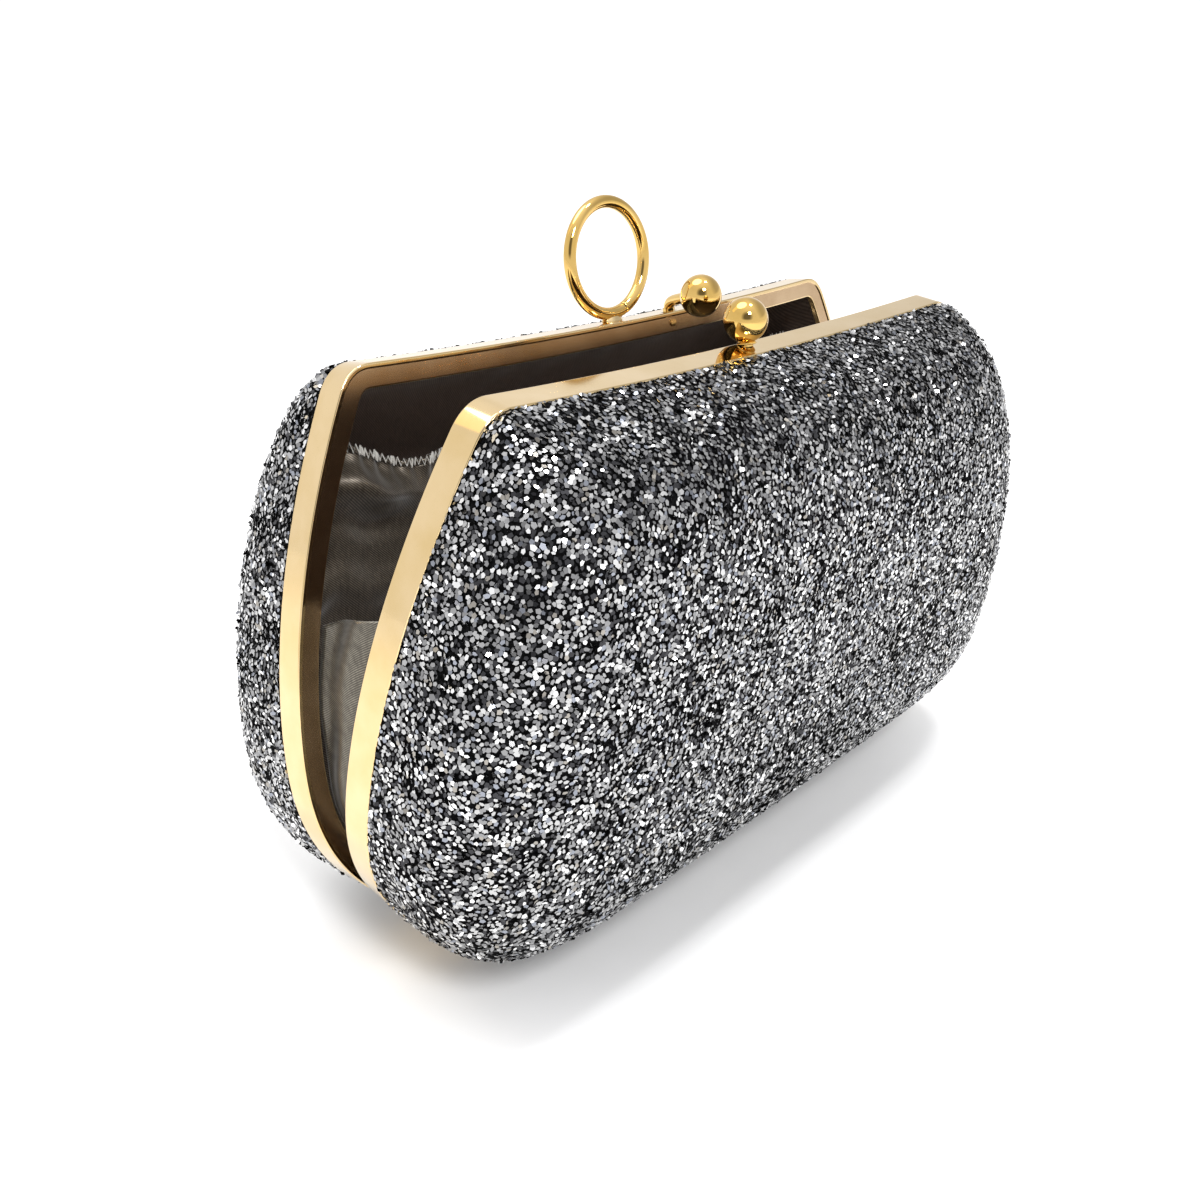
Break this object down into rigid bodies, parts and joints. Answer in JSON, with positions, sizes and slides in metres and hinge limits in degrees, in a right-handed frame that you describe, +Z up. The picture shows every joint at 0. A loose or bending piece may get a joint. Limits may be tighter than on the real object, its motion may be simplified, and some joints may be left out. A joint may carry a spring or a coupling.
{
  "type": "evening bag",
  "caption": "Hard-shell evening bag: domed glitter halves in gilt frames, hinged at the base, with a kiss lock, a finger ring and a slip pocket.",
  "frame": {"origin": "centre of the footprint at the lowest point of the bag as it stands, partly open", "axes": "+X along the bag's length, -Y towards the front half, +Z up"},
  "size_m": [0.202, 0.0956, 0.1492],
  "materials": {
    "gilt_brass": "polished light gold plating",
    "plated_steel": "plated",
    "glitter_cloth": "chunky graphite and silver glitter",
    "pulp_board": "plain moulded shell, hidden",
    "dark_satin": "satin",
    "taupe_satin": "satin, gathered",
    "hem_elastic": "overlocked elastic hem"
  },
  "bodies": {
    "rear_half": {"rear_frame": "gilt_brass", "rear_shell": "pulp_board", "rear_cover": "glitter_cloth", "rear_lining": "dark_satin", "rear_hinge_leaf_left": "plated_steel", "rear_hinge_leaf_right": "plated_steel", "hinge_pin_left": "plated_steel", "hinge_pin_right": "plated_steel", "corner_tongue_left": "gilt_brass", "corner_tongue_right": "gilt_brass", "rear_arm_rivet": "gilt_brass", "finger_ring": "gilt_brass", "ring_saddle": "gilt_brass", "slip_pocket": "taupe_satin", "pocket_elastic": "hem_elastic", "gusset_left": "dark_satin", "gusset_right": "dark_satin"},
    "front_half": {"front_frame": "gilt_brass", "front_shell": "pulp_board", "front_cover": "glitter_cloth", "front_lining": "dark_satin", "front_hinge_leaf_left": "plated_steel", "front_hinge_leaf_right": "plated_steel", "front_arm_rivet": "gilt_brass"},
    "front_lock_ball": {"front_knob": "gilt_brass", "front_knob_arm": "gilt_brass"},
    "rear_lock_ball": {"rear_knob": "gilt_brass", "rear_knob_arm": "gilt_brass"}
  },
  "joints": [
    {"name": "base_hinge", "type": "hinge", "parent": "rear_half", "child": "front_half", "pos_m": [0, 0, 0.00327], "axis": [1, 0, 0], "range_deg": [-14.9, 25], "deforming": ["gusset_left", "gusset_right"]},
    {"name": "front_ball_flex", "type": "hinge", "parent": "front_half", "child": "front_lock_ball", "pos_m": [0, -0.01686, 0.11947], "axis": [0, -0.9914, -0.1305], "range_deg": [0, 6], "stiffness_Nm_per_rad": 0.5},
    {"name": "rear_ball_flex", "type": "hinge", "parent": "rear_half", "child": "rear_lock_ball", "pos_m": [0.016, 0.01686, 0.11947], "axis": [0, 0.9914, -0.1305], "range_deg": [0, 6], "stiffness_Nm_per_rad": 0.5}
  ]
}
